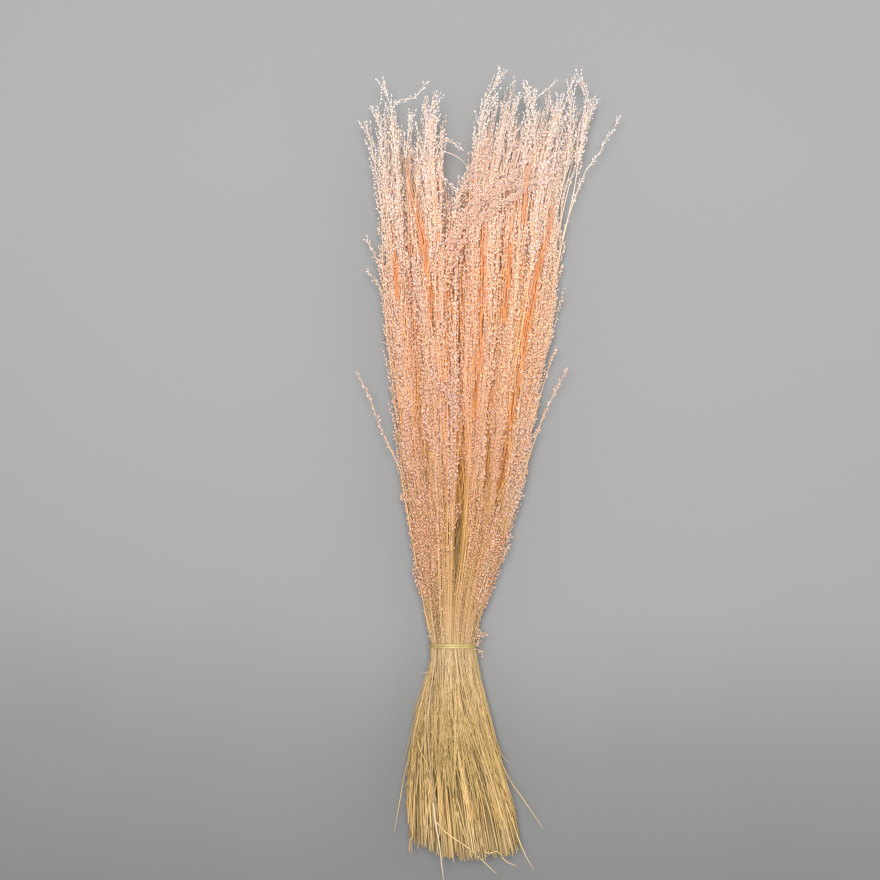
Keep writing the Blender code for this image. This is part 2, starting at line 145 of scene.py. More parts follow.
# Single lines that stand out. Each has a lock, a radius, the heights of its start and end, its
# branches (how many, over which last share, how long and how open; none on a bare one) and its
# course as seen from above at the height of the tie: x and y from the tie. In millimetres.
LINES = (
    (15, 0.6, 80, 94, (38, 0.62, 26, 0.24),
     ((19, 300), (20, 380), (22, 437), (25, 485), (27, 504), (31, 516), (36, 527), (42, 537), (46, 544))),
    (16, 0.5, 78, 88, (14, 0.55, 16, 0.22),
     ((28, 380), (29, 440), (29, 480), (31, 500), (36, 512), (40, 519))),
    (17, 0.5, 70, 80, (16, 0.55, 18, 0.20),
     ((-46, 360), (-51, 410), (-54, 451), (-56, 480), (-59, 509), (-62, 520), (-67, 535))),
    (17, 0.4, 72, 80, (7, 0.55, 7, 0.30),
     ((-55, 470), (-58, 506), (-56, 513), (-49, 518), (-41, 519), (-34, 522), (-29, 529), (-26, 535))),
    (18, 0.5, 52, 56, (20, 0.60, 16, 0.24),
     ((-58, 350), (-66, 400), (-70, 430), (-74, 455), (-77, 472), (-81, 486), (-84, 495))),
    (18, 0.5, 60, 66, (18, 0.60, 20, 0.24),
     ((-55, 360), (-63, 420), (-66, 447), (-68, 477), (-69, 493), (-74, 508))),
    (16, 0.5, 80, 88, (16, 0.60, 18, 0.26),
     ((-16, 370), (-19, 430), (-20, 456), (-21, 488), (-22, 502), (-19, 513), (-14, 521))),
    (16, 0.5, 76, 84, (14, 0.60, 18, 0.22),
     ((-24, 380), (-26, 440), (-27, 461), (-26, 494), (-27, 512), (-25, 517))),
    (17, 0.5, 72, 80, (12, 0.55, 16, 0.22),
     ((-38, 380), (-43, 440), (-45, 456), (-43, 480), (-41, 493), (-40, 505))),
    (16, 0.4, 88, 86, (8, 0.80, 8, 0.35),
     ((-28, 470), (-22, 488), (-18, 485), (-6, 480), (1, 477), (8, 471))),
    (16, 0.4, 88, 84, (),
     ((-26, 478), (-21, 484), (-17, 479), (-10, 470), (0, 466), (9, 460), (16, 451))),
    (16, 0.4, 86, 84, (6, 0.80, 8, 0.40), ((-22, 462), (-16, 453), (-13, 447), (-5, 439), (2, 433))),
    (15, 0.5, 80, 88, (16, 0.60, 18, 0.24),
     ((34, 360), (40, 420), (43, 456), (45, 484), (48, 503), (49, 512))),
    (14, 0.5, 78, 84, (18, 0.60, 20, 0.26),
     ((42, 370), (48, 420), (52, 461), (55, 494), (59, 513), (63, 522))),
    (14, 0.5, 76, 84, (20, 0.62, 22, 0.26),
     ((55, 370), (62, 420), (68, 470), (72, 494), (72, 512), (71, 524), (69, 532))),
    (13, 0.5, 72, 80, (18, 0.60, 20, 0.24),
     ((64, 370), (72, 420), (78, 470), (77, 499), (77, 513), (76, 526))),
    (13, 0.4, 78, 82, (4, 0.35, 6, 0.20), ((68, 480), (74, 506), (79, 519), (88, 527), (97, 535))),
    (13, 0.5, 68, 74, (16, 0.60, 18, 0.24), ((76, 360), (84, 420), (90, 461), (94, 494), (98, 513))),
    (12, 0.5, 64, 70, (16, 0.60, 18, 0.24), ((84, 360), (91, 420), (97, 461), (101, 494), (104, 521))),
    (12, 0.5, 58, 62, (20, 0.50, 22, 0.22),
     ((90, 350), (99, 410), (107, 451), (112, 493), (112, 516), (112, 535))),
    (12, 0.5, 54, 56, (22, 0.52, 20, 0.22),
     ((96, 350), (108, 400), (115, 432), (121, 474), (124, 493), (128, 508), (127, 524), (123, 535),
      (119, 541))),
    (11, 0.5, 50, 52, (14, 0.42, 16, 0.24),
     ((94, 360), (104, 410), (112, 442), (121, 470), (127, 493), (134, 516))),
    (11, 0.6, 50, 50, (12, 0.36, 9, 0.18),
     ((70, 240), (83, 290), (92, 328), (101, 367), (107, 398), (115, 422), (121, 439), (129, 455),
      (139, 467), (145, 480), (153, 490), (157, 501))),
    (19, 0.6, 46, 56, (9, 0.34, 7, 0.22),
     ((-21.5, 8), (-29, 45), (-34, 72), (-42, 120), (-47, 147), (-50, 166), (-57, 181), (-67, 202),
      (-72, 215), (-83, 243), (-91, 258))),
    (11, 0.5, 60, 56, (2, 0.30, 5, 0.20), ((60, 160), (71, 195), (80, 227), (88, 254), (98, 282))),
    (11, 0.5, 55, 50, (10, 0.60, 8, 0.22), ((64, 150), (76, 190), (85, 215), (94, 235), (108, 262))),
    (19, 0.4, 56, 52, (11, 0.70, 9, 0.25),
     ((-54, 290), (-62, 328), (-69, 361), (-76, 373), (-82, 385))),
    (19, 0.4, 50, 46, (9, 0.70, 9, 0.25),
     ((-56, 280), (-63, 318), (-70, 341), (-76, 349), (-81, 355))),
    (19, 0.5, 50, 30, (), ((-28, -66), (-33, -86), (-39, -100), (-44, -114), (-49, -140), (-56, -178))),
    (12, 0.4, 55, 50, (), ((22, -50), (26, -67), (30, -79), (36, -90), (44, -102), (54, -113))),
    (11, 0.5, 52, 40, (), ((33, -80), (39, -95), (45, -109), (51, -123), (67, -147), (86, -175))),
    (15, 0.6, 77, 62, (), ((-16, -168), (-10, -175), (16, -194), (42, -218))),
    (16, 0.6, 72, 78, (), ((-34, -90), (-31, -100), (-25, -113), (-21, -126))),
    (15, 0.6, 62, 77, (), ((-2, -52), (5, -98), (12, -135), (18, -175), (22, -203))),
    (15, 0.6, 62, 77, (), ((4, -60), (14, -95), (24, -122), (35, -160), (43, -197))),
    (15, 0.5, 66, 77, (), ((-4, -78), (-9, -120), (-11, -155), (-15, -198))),
    (14, 0.6, 64, 74, (), ((12, -66), (24, -100), (36, -132), (50, -172), (57, -196))),
    (14, 0.6, 68, 56, (),
     ((24, -166), (26, -180), (29, -193), (33, -198), (41, -196), (51, -206), (61, -210))),
    (13, 0.5, 56, 46, (), ((50, -150), (56, -166), (65, -191), (70, -202), (77, -214))),
    (12, 0.3, 54, 56, (2, 0.60, 4, 0.30), ((16, 17), (21, 16), (26, 13), (31, 9))),
    (12, 0.3, 52, 52, (2, 0.60, 3, 0.30), ((17, -6), (22, -4), (26, -6), (28, -10))),
    (19, 0.3, 46, 46, (), ((-19, -25.5), (-25, -26), (-31, -27.5))),
)

# Pale, soft plumes along the right edge, in the same order as the lines.
WISPS = (
    (12, 0.3, 58, 56, (40, 0.95, 20, 0.34), ((49, 110), (58, 140), (65, 172), (71, 205), (77, 245))),
    (11, 0.3, 52, 50, (40, 0.95, 18, 0.34), ((47, 100), (56, 128), (63, 160), (68, 192), (73, 225))),
    (12, 0.3, 64, 62, (34, 0.95, 18, 0.34), ((44, 118), (52, 150), (59, 185), (64, 220))),
    (11, 0.3, 46, 44, (34, 0.95, 16, 0.34), ((46, 96), (55, 122), (63, 150), (70, 185), (75, 215))),
    (11, 0.3, 50, 48, (12, 0.90, 9, 0.40), ((42, 72), (47, 82), (50, 92), (53, 104))),
    (12, 0.3, 66, 66, (34, 0.95, 18, 0.40), ((50, 125), (57, 150), (64, 180), (70, 212))),
    (11, 0.3, 58, 58, (34, 0.95, 18, 0.40), ((48, 104), (57, 134), (65, 166), (71, 200), (76, 232))),
    (11, 0.3, 52, 50, (9, 0.95, 6, 0.60), ((21, 20), (23.5, 14), (25, 7), (24.5, 1))),
)

# Small pink tufts over the middle.
TUFTS = (
    (18, 0.3, 60, 52, (16, 0.95, 9, 0.40), ((-20, 134), (-30, 138), (-38, 137), (-43, 139), (-48, 141))),
    (15, 0.3, 89, 96, (20, 0.95, 9, 0.30), ((15.5, 146), (22, 150), (27.5, 158), (29, 176), (29.5, 195))),
    (16, 0.3, 94, 104, (20, 0.95, 10, 0.50), ((9, 214), (3, 226), (-4, 236), (-10, 246))),
    (17, 0.3, 86, 94, (26, 0.95, 12, 0.50), ((-40, 345), (-46, 365), (-52, 385), (-55, 405), (-58, 425))),
    (16, 0.3, 94, 102, (22, 0.95, 12, 0.50), ((-26, 305), (-30, 325), (-35, 345), (-37, 365))),
    (17, 0.3, 84, 90, (18, 0.95, 10, 0.50), ((-16, 176), (-19, 190), (-24, 206), (-26, 222))),
)

# The salmon plumes that sweep over the middle to the right.
SWEEP = (
    (15, 0.3, 92, 104, (40, 0.95, 16, 0.30),
     ((-12, 340), (-8, 368), (0, 392), (12, 412), (26, 426), (42, 434), (62, 438))),
    (15, 0.3, 94, 106, (36, 0.95, 16, 0.30),
     ((-6, 352), (1, 382), (12, 404), (26, 420), (42, 430), (60, 446))),
    (15, 0.3, 92, 102, (32, 0.90, 18, 0.34),
     ((-6, 360), (-1, 400), (6, 428), (14, 446), (25, 461), (33, 475))),
    (15, 0.3, 90, 102, (34, 0.95, 16, 0.34),
     ((-12, 325), (-4, 355), (6, 378), (18, 396), (30, 408), (42, 422))),
    (14, 0.3, 94, 104, (26, 0.95, 16, 0.34), ((12, 390), (26, 408), (44, 420), (62, 428), (78, 444))),
)

# One ivory stem with a leaf, over the foot.
IVORY = (
    (16, 0.48, 67, 78.5, (), ((-21, -40), (-24, -80), (-21.5, -114), (-18.5, -152))),
    (16, 1.3, 78.5, 76.5, (), ((-19, -150), (-17.8, -160), (-16.5, -170), (-14, -184))),
    (16, 0.7, 77, 74, (), ((-15, -178), (-13, -190), (-11, -207), (-9, -223))),
)

# For each of these tables: how much paler its spikelets are, and the straw tile of its stems.
SINGLE_PLUMES = (
    (LINES, 0.0, 11),
    (WISPS, 0.24, 10),
    (TUFTS, 0.04, 10),
    (SWEEP, -0.24, 9),
    (IVORY, 0.0, 15),
)

# The tie: its height, and a flattened strand that goes round twice and crosses itself once.
TIE_HEIGHT = 0.04
TIE_TURNS = 2
TIE_STEPS = 192
TIE_CORNERS = 10
TIE_WIDTH = 0.00194
TIE_THICKNESS = 0.0015
TIE_SPACING = 0.0020
TIE_SINK = 0.975
TIE_CLEAR = 0.0009
TIE_CROSSING = 0.0017

# The camera's place from the tie, and its lens in pixels of the square view.
CAMERA_X = -0.01235
CAMERA_Y = 0.19475
CAMERA_ABOVE = 1.8326
SENSOR_WIDTH = 36.0
FOCAL_PIXELS = 1929
VIEW_PIXELS = 880

GOLDEN_ANGLE = math.pi * (3 - math.sqrt(5))
FULL_TURN = 2 * math.pi
draw = np.random.default_rng(11)


def metres(millimetres):
    """These lengths, given in millimetres, in metres."""
    return np.array(millimetres) / 1000


def smooth(table, at):
    """The rows of a table at these places, on smooth curves through its rows, as columns."""
    table = np.array(table, float)
    place, rows = table[:, 0], table[:, 1:]
    slope = np.gradient(rows, place, axis=0)
    at = np.clip(at, place[0], place[-1])
    low = np.clip(np.searchsorted(place, at, side="right") - 1, 0, len(place) - 2)
    step = (place[low + 1] - place[low])[..., None]
    t = (at[..., None] - place[low][..., None]) / step
    made = (
        rows[low] * (1 + 2 * t) * (1 - t) ** 2
        + slope[low] * step * t * (1 - t) ** 2
        + rows[low + 1] * t**2 * (3 - 2 * t)
        + slope[low + 1] * step * t**2 * (t - 1)
    )
    return np.moveaxis(made, -1, 0)


def ease(t):
    """From 0 to 1, starting and ending gently."""
    t = np.clip(t, 0, 1)
    return t * t * (3 - 2 * t)


def unit(v):
    return v / np.maximum(np.linalg.norm(v, axis=-1, keepdims=True), 1e-12)


def section(angle, y):
    """The section at y: its middle x and z, its half sizes, and its outline's reach as their share."""
    middle_x, middle_z, wide, up, down = smooth(STATIONS, y)
    upper = np.sin(angle) >= 0
    power = np.where(upper, UPPER_ROUNDNESS, LOWER_ROUNDNESS)
    outline = (np.abs(np.cos(angle)) ** power + np.abs(np.sin(angle)) ** power) ** (-1 / power)
    return middle_x, middle_z, wide, np.where(upper, up, down), outline


def spot(angle, reach, y):
    """Points of the section at y: out from its middle at an angle, as a share of its outline."""
    middle_x, middle_z, wide, tall, outline = section(angle, y)
    x = middle_x + reach * outline * wide * np.cos(angle)
    z = middle_z + reach * outline * tall * np.sin(angle)
    return np.stack([x, y, z], axis=-1)


def top_at(x):
    """The y that the tips reach at x."""
    return np.interp(x, *metres(TOP_OUTLINE).T)


def raised(points):
    """Moves points seen from above at the height of the tie to their own heights."""
    nearer = (CAMERA_ABOVE - (points[:, 2:] - TIE_HEIGHT)) / CAMERA_ABOVE
    above = np.array([[CAMERA_X, CAMERA_Y]])
    return np.hstack([above + (points[:, :2] - above) * nearer, points[:, 2:]])


def gathered(angle, packed, groups, pulls):
    """Each stem's turn and shift towards the group it gathers in, and the group's shade and lean."""
    turn, shift, shade = np.zeros((3, len(angle)))
    lean = np.zeros((len(angle), 2))
    for count, nearest, farthest in groups:
        middles = (np.arange(count) + draw.uniform(0.1, 0.9, count)) / count * FULL_TURN
        own_turn = draw.normal(0, 0.05, count)
        own_shift = draw.normal(0, 0.035, count)
        own_shade = draw.normal(0, 0.11, count)
        own_lean = draw.normal(0, 1, (count, 2))
        rows = np.flatnonzero((packed >= nearest) & (packed < farthest))
        apart = (middles[None] - angle[rows, None] + math.pi) % FULL_TURN - math.pi
        group = np.abs(apart).argmin(axis=1)
        pull = draw.uniform(*pulls, len(rows))
        turn[rows] = pull * apart[np.arange(len(rows)), group] + own_turn[group]
        shift[rows] = own_shift[group]
        shade[rows] = own_shade[group]
        lean[rows] = own_lean[group]
    return turn, shift, shade, lean


class Stems:
    """Every stem of the bunch: arrays with one value for each stem."""

    def __init__(self, count):
        rank = (np.arange(count) + 0.5) / count
        self.packed = PACKED_REACH * np.sqrt(rank)
        self.angle = np.arange(count) * GOLDEN_ANGLE
        room = np.maximum(self.packed, 0.25)
        turn, shift, self.shade, shared = gathered(self.angle, self.packed, WANDS, (0.45, 0.95))
        self.head_turn = turn + draw.normal(0, 0.03, count) / room
        self.head_shift = shift + draw.normal(0, 0.03, count)
        askew = draw.uniform(0, 1, count) < 0.50
        tuft_turn = gathered(self.angle, self.packed, FOOT_TUFTS, (0.1, 0.7))[0]
        own_turn = draw.normal(0, 1, count) * np.where(askew, 0.36, 0.13) / room
        self.foot_turn = RIGHTWARD_TURN + tuft_turn + own_turn
        self.foot_shift = self.packed**0.75 - self.packed + draw.normal(0, 0.07, count)
        self.straight = draw.uniform(0.0, 0.95, count)
        self.wave = draw.normal(0, 0.0018, (count, 2))
        self.wave_start = draw.uniform(0, FULL_TURN, (count, 2))
        self.lean = draw.normal(0, 1, (count, 2)) * (0.0040, 0.0028) + shared * (0.0065, 0.0030)
        self.lean[:, 0] *= 0.35 + 0.65 * np.abs(np.sin(self.angle))
        self.top = np.full(count, 0.46)
        rows = np.arange(count)
        tips = self.curve(rows, self.top)[:, 0]
        outer = ease((self.packed - 0.55) / 0.3)
        drop = draw.uniform(0, 1, count)
        self.top = top_at(tips) - 0.004 - (0.16 + 0.16 * outer) * drop ** (1.0 + 0.8 * outer)
        bare = 0.75 * np.exp(-((np.cos(self.angle) / 0.25) ** 2)) * (np.sin(self.angle) > 0)
        low_share = (0.34 - 0.08 * np.cos(self.angle)) * outer * (1 - bare)
        low_ones = draw.uniform(0, 1, count) < low_share
        self.top = np.where(low_ones, draw.uniform(0.10, 0.33, count), self.top)
        side = np.cos(self.angle + self.foot_turn) * self.packed
        self.foot = -0.200 + 0.019 * np.clip(-side, 0, 1) ** 2 + 0.005 * np.clip(side, 0, 1) ** 2
        self.foot += 0.018 * draw.uniform(0, 1, count) ** 1.5
        short = draw.uniform(0, 1, count) < SHORT_STEMS
        self.foot = np.where(short, draw.uniform(-0.18, -0.080, count), self.foot)
        self.thick = draw.uniform(0.55, 1.35, count)
        self.lock = lock_of(self.packed / PACKED_REACH, self.angle + RIGHTWARD_TURN / 2)

    def curve(self, rows, y):
        """Where these stems would pass these values of y if all followed the bunch's outline."""
        above, below = ease(y / 0.30), ease(-y / 0.13)
        angle = self.angle[rows] + self.head_turn[rows] * above + self.foot_turn[rows] * below
        reach = self.packed[rows] + self.head_shift[rows] * above + self.foot_shift[rows] * below
        made = spot(angle, np.clip(reach, 0.01, FARTHEST_REACH), y)
        late = np.clip(y / np.maximum(self.top[rows], 0.3), 0, 1.2) ** 3
        for axis, column in ((0, 0), (2, 1)):
            wave = np.sin(FULL_TURN * y / 0.17 + self.wave_start[rows, column])
            made[..., axis] += self.wave[rows, column] * wave * above
            made[..., axis] += self.lean[rows, column] * late
        middle = smooth(STATIONS, y)[1]
        flat = HEAD_FLATTENING * ease((y - 0.05) / 0.25)
        made[..., 2] -= flat * np.maximum(made[..., 2] - middle, 0)
        return pushed_aside(made)

    def points(self, rows, y):
        """Where these stems pass these values of y. Below the tie they run straighter."""
        made = self.curve(rows, y)
        foot = self.foot[rows]
        start = self.curve(rows, np.zeros_like(foot))
        end = self.curve(rows, foot)
        share = np.clip(y / foot, 0, 1)[..., None]
        straight = self.straight[rows][..., None] * (y < 0)[..., None]
        return made + straight * (start * (1 - share) + end * share - made)


def lock_of(reach, angle):
    """The number of the lock that holds each place of the section."""
    inner = np.round((angle + math.pi / 2) / FULL_TURN * INNER_LOCKS).astype(int) % INNER_LOCKS
    outer = np.round((angle + math.pi / 2) / FULL_TURN * OUTER_LOCKS).astype(int) % OUTER_LOCKS
    number = np.where(reach < INNER_REACH, 1 + inner, 1 + INNER_LOCKS + outer)
    return np.where(reach < MIDDLE_REACH, 0, number)


class Shape:
    """Points, triangles and UV corners that are gathered into one mesh."""

    def __init__(self):
        self.points, self.faces, self.corners = [], [], []
        self.count = 0

    def add(self, points, faces, corners):
        self.points.append(points)
        self.faces.append(faces + self.count)
        self.corners.append(corners)
        self.count += len(points)


def tubes(shape, paths, radii, tiles, tile_count, sides):
    """Adds tubes along paths (tube, point, xyz), with a radius at each point."""
    tubes_made, length = paths.shape[:2]
    if not tubes_made:
        return
    tangent = unit(np.gradient(paths, axis=1))
    across = unit(np.cross(tangent, (0.0, 0.0, 1.0)))
    over = np.cross(across, tangent)
    turn = FULL_TURN * np.arange(sides) / sides
    ring = across[:, :, None] * np.cos(turn)[:, None] + over[:, :, None] * np.sin(turn)[:, None]
    points = paths[:, :, None] + radii[:, :, None, None] * ring

    faces, places = [], []
    for k in range(length - 1):
        for j in range(sides):
            low, high = k * sides, (k + 1) * sides
            after = (j + 1) % sides
            faces += [(low + j, low + after, high + after), (low + j, high + after, high + j)]
            places += [((k, j), (k, j + 1), (k + 1, j + 1)), ((k, j), (k + 1, j + 1), (k + 1, j))]
    last = (length - 1) * sides
    for j in range(1, sides - 1):
        faces += [(0, j + 1, j), (last, last + j, last + j + 1)]
        places += [((0, 0), (0, j + 1), (0, j)), ((length - 1, 0), (length - 1, j), (length - 1, j + 1))]
    faces, places = np.array(faces), np.array(places)

    starts = np.arange(tubes_made)[:, None, None] * length * sides
    u = (tiles[:, None, None] + 0.1 + 0.8 * places[None, :, :, 1] / sides) / tile_count
    v = share_along(paths[:, :, 1])[:, places[:, :, 0]]
    corners = np.stack([u, v], axis=-1)
    shape.add(points.reshape(-1, 3), (faces + starts).reshape(-1, 3), corners.reshape(-1, 3, 2))


def share_along(y):
    """How far along the bunch a y lies, from 0 to 1, for the UV map."""
    return np.clip((y - LOW_Y) / (HIGH_Y - LOW_Y), 0.002, 0.997)


def beads(shape, bases, axes, lengths, widths, tone):
    """Adds spikelets: egg-shaped, with three sides, standing on their bases."""
    count = len(bases)
    if not count:
        return
    tiles = np.clip((tone * BEAD_TILES).astype(int), 0, BEAD_TILES - 1)
    x, y = bases[:, 0], bases[:, 1]
    golden = 0.10 + 0.50 * np.exp(-(((x - 0.058) / 0.028) ** 2) - ((y - 0.29) / 0.11) ** 2)
    yellow = draw.uniform(0, 1, count) < golden
    tiles = np.where(yellow, BEAD_TILES + draw.integers(0, YELLOW_TILES, count), tiles)
    first = unit(np.cross(axes, draw.normal(0, 1, (count, 3))))
    second = np.cross(axes, first)
    points = np.empty((count, 2 + BEAD_SIDES, 3))
    points[:, 0] = bases
    points[:, -1] = bases + axes * lengths[:, None]
    faces, rise, round_it = [], [], []
    for j in range(BEAD_SIDES):
        turn = FULL_TURN * j / BEAD_SIDES
        out = first * math.cos(turn) + second * math.sin(turn)
        points[:, 1 + j] = bases + axes * 0.45 * lengths[:, None] + out * widths[:, None] / 2
        after = (j + 1) % BEAD_SIDES
        faces += [(0, 1 + after, 1 + j), (1 + BEAD_SIDES, 1 + j, 1 + after)]
        rise += [(0, 0.45, 0.45), (1, 0.45, 0.45)]
        round_it += [(j, j + 1, j), (j, j, j + 1)]
    faces, rise, round_it = np.array(faces), np.array(rise), np.array(round_it)
    u = (tiles[:, None, None] + 0.08 + 0.84 * rise) / PLUME_TILES
    v = share_along(y)[:, None, None] + 0.0006 * round_it
    u = np.broadcast_to(u, (count, 2 * BEAD_SIDES, 3))
    starts = np.arange(count)[:, None, None] * (2 + BEAD_SIDES)
    corners = np.stack([u, v], axis=-1)
    shape.add(points.reshape(-1, 3), (faces + starts).reshape(-1, 3), corners.reshape(-1, 3, 2))


def beside_partings(points):
    """For each parting: how far right of it points lie as seen from above, its width and its fade."""
    x, y, z = np.moveaxis(points, -1, 0)
    nearer = (CAMERA_ABOVE - (z - TIE_HEIGHT)) / CAMERA_ABOVE
    x, y = CAMERA_X + (x - CAMERA_X) / nearer, CAMERA_Y + (y - CAMERA_Y) / nearer
    for _, width, course in PARTINGS:
        across, away = metres(course)[::-1].T
        middle = np.interp(y, away, across)
        ends = ease((y - away[0] + 0.012) / 0.012) * ease((away[-1] + 0.012 - y) / 0.012)
        yield x - middle, metres(width), ends


def parted(points):
    """How far these points lie in a parting, from 0 to 1."""
    most = np.zeros(points.shape[:-1])
    for offset, width, ends in beside_partings(points):
        most = np.maximum(most, np.exp(-((offset / width) ** 2)) * ends)
    return most * ease((points[..., 2] - TIE_HEIGHT) / 0.02)


def pushed_aside(points):
    """Moves what would lie in a parting to its sides, where it is near the top of the bunch."""
    push = np.zeros(points.shape[:-1])
    for offset, width, ends in beside_partings(points):
        push += np.sign(offset) * width * np.exp(-np.abs(offset) / (1.5 * width)) * ends
    moved = points.copy()
    moved[..., 0] += push * ease((points[..., 2] - PARTING_FLOOR) / 0.012)
    return moved


def along(curves, rows, share):
    """Points at these shares of the way along these curves (curve, point, xyz)."""
    place = np.clip(share, 0, 1) * (curves.shape[1] - 1)
    low = np.minimum(place.astype(int), curves.shape[1] - 2)
    part = (place - low)[..., None]
    return curves[rows, low] * (1 - part) + curves[rows, low + 1] * part


def counted(counts):
    """For each of these counts, its row as often as it says, and the place in that count."""
    rows = np.repeat(np.arange(len(counts)), counts)
    return rows, np.arange(len(rows)) - np.repeat(np.cumsum(counts) - counts, counts)


def panicles(shape, curves, branch_counts, longest, opening, shade):
    """Adds branches with spikelets along curves that run from each panicle's foot to its tip."""
    rows, order = counted(branch_counts)
    if not len(rows):
        return
    share = np.clip((order + draw.uniform(0, 1, len(rows))) / branch_counts[rows], 0, 0.985)
    lengths = np.linalg.norm(np.diff(curves, axis=1), axis=-1).sum(axis=1)[rows]
    shortest = np.minimum(SHORTEST_BRANCH, 0.8 * longest[rows])
    reach = shortest + (longest[rows] - shortest) * (1 - share) ** 0.8
    reach *= draw.uniform(0.7, 1.15, len(rows))
    share = np.minimum(share, 1 - 0.75 * reach / lengths)
    in_parting = parted(along(curves, rows, share + 0.4 * reach / lengths))
    kept = draw.uniform(0, 1, len(rows)) > 0.9 * in_parting
    rows, order, share, reach, lengths = (c[kept] for c in (rows, order, share, reach, lengths))

    tangent = unit(along(curves, rows, share + 0.02) - along(curves, rows, share - 0.02))
    side = unit(np.cross(tangent, (0.0, 0.0, 1.0)))
    turn = order * GOLDEN_ANGLE + draw.uniform(0, 0.8, len(rows))
    out = side * np.cos(turn)[:, None] + np.cross(side, tangent) * np.sin(turn)[:, None]
    flare = 1 + 0.6 * ease((along(curves, rows, share)[:, 1] - 0.36) / 0.12)
    width = reach * opening[rows] * flare * draw.uniform(0.5, 1.5, len(rows))
    paths = []
    for way, bow in ((0.0, 0.0), (0.5, 0.62), (1.0, 1.0)):
        past = np.maximum(share + way * reach / lengths - 1, 0) * lengths
        on_stem = along(curves, rows, share + way * reach / lengths) + tangent * past[:, None]
        paths.append(on_stem + out * (width * bow)[:, None])
    paths = np.stack(paths, axis=1)
    radii = BRANCH_RADIUS * np.array([1.0, 0.8, 0.55]) * np.ones((len(rows), 1))
    branch_tiles = draw.integers(BEAD_TILES + YELLOW_TILES, PLUME_TILES, len(rows))
    tubes(shape, paths, radii, branch_tiles, PLUME_TILES, BRANCH_SIDES)

    denser = 1 + 0.30 * ease((paths[:, 1, 1] - 0.33) / 0.10)
    bead_counts = np.maximum(np.round(0.85 * reach * denser / BEAD_SPACING).astype(int), 2)
    hosts, order = counted(bead_counts)
    place = 0.16 + 0.84 * (order + draw.uniform(0.1, 0.9, len(hosts))) / bead_counts[hosts]
    bases = along(paths, hosts, place)
    kept = draw.uniform(0, 1, len(hosts)) > 0.85 * parted(bases)
    hosts, place, bases = hosts[kept], place[kept], bases[kept]
    forward = unit(along(paths, hosts, place + 0.1) - along(paths, hosts, place - 0.1))
    aside = unit(draw.normal(0, 1, (len(hosts), 3)) + 0.6 * out[hosts])
    axes = unit(forward + draw.uniform(0.2, 1.0, len(hosts))[:, None] * aside)
    sizes = draw.uniform(0.7, 1.2, len(hosts)) * (1 - 0.14 * ease((bases[:, 1] - 0.36) / 0.12))
    whiter = 0.28 * ease((bases[:, 1] - 0.35) / 0.15)
    tone = shade[rows][hosts] + draw.normal(0, 0.08, len(hosts)) + whiter
    widths = BEAD_WIDTH * sizes * draw.uniform(0.85, 1.1, len(hosts))
    beads(shape, bases, axes, BEAD_LENGTH * sizes, widths, tone)


def above_floor(points):
    """Presses what would sink into the surface flat on it, and what would stand too high down."""
    soft = 0.003
    low = points[:, 2] < soft
    points[low, 2] = soft * np.exp(points[low, 2] / soft - 1)
    high = points[:, 2] > SOFT_TOP
    points[high, 2] = SOFT_TOP + TOP_ROOM * (1 - np.exp((SOFT_TOP - points[high, 2]) / TOP_ROOM))
    return points


def piece_of(shape, name, finish, tie_middle):
    """One mesh object of a gathered shape, at the frame's tie, with its UV map."""
    points = above_floor(np.concatenate(shape.points))
    points[:, :2] += tie_middle
    faces = np.concatenate(shape.faces)
    corners = np.concatenate(shape.corners)
    mesh = bpy.data.meshes.new(name)
    mesh.vertices.add(len(points))
    mesh.vertices.foreach_set("co", points.astype(np.float32).ravel())
    mesh.loops.add(faces.size)
    mesh.loops.foreach_set("vertex_index", faces.astype(np.int32).ravel())
    mesh.polygons.add(len(faces))
    mesh.polygons.foreach_set("loop_start", np.arange(0, faces.size, 3, dtype=np.int32))
    mesh.polygons.foreach_set("use_smooth", np.ones(len(faces), bool))
    uv_map = mesh.uv_layers.new(name="OFBake")
    uv_map.uv.foreach_set("vector", corners.astype(np.float32).ravel())
    mesh.update()
    mesh.validate()
    mesh.materials.append(finish)
    return linked(name, mesh)


def linked(name, data):
    """A new object with this data, in the scene."""
    made = bpy.data.objects.new(name, data)
    bpy.context.scene.collection.objects.link(made)
    return made


def stem_paths(stems, rows):
    """The points and radii of whole stems, from the cut end to the tip."""
    foot, top = stems.foot[rows], stems.top[rows]
    ys = [foot]
    ys += [foot * share for share in FOOT_SHARES]
    ys += [np.full(len(rows), y) for y in HEAD_KNOTS]
    start = HEAD_KNOTS[-1]
    ys += [start + (top - start) * share for share in HEAD_SHARES]
    ys = np.stack(ys, axis=1)
    paths = stems.points(rows[:, None], ys)
    shares = np.where(ys < 0, ys / 0.2, ys / top[:, None])
    radii = np.interp(shares, *zip(*STEM_RADII))
    deep = (stems.packed[rows] < DEEP_REACH)[:, None]
    radii = radii * np.where(deep, 1 + (DEEP_THICKER - 1) * ease((ys - 0.05) / 0.1), 1.0)
    return paths, radii * stems.thick[rows][:, None]


def add_straw(shape, stems, rows):
    """The stems of one lock."""
    paths, radii = stem_paths(stems, rows)
    tone = 0.5 + draw.normal(0, 0.30, len(rows))
    tiles = np.clip((tone * STALK_TILES).astype(int), 0, STALK_TILES - 1)
    # Stems deep in the bunch take the inside colours, which carry painted shade.
    tiles = np.where(stems.packed[rows] < DEEP_REACH, DEEP_TILE, tiles)
    tubes(shape, paths, radii, tiles, STRAW_TILES, STEM_SIDES)


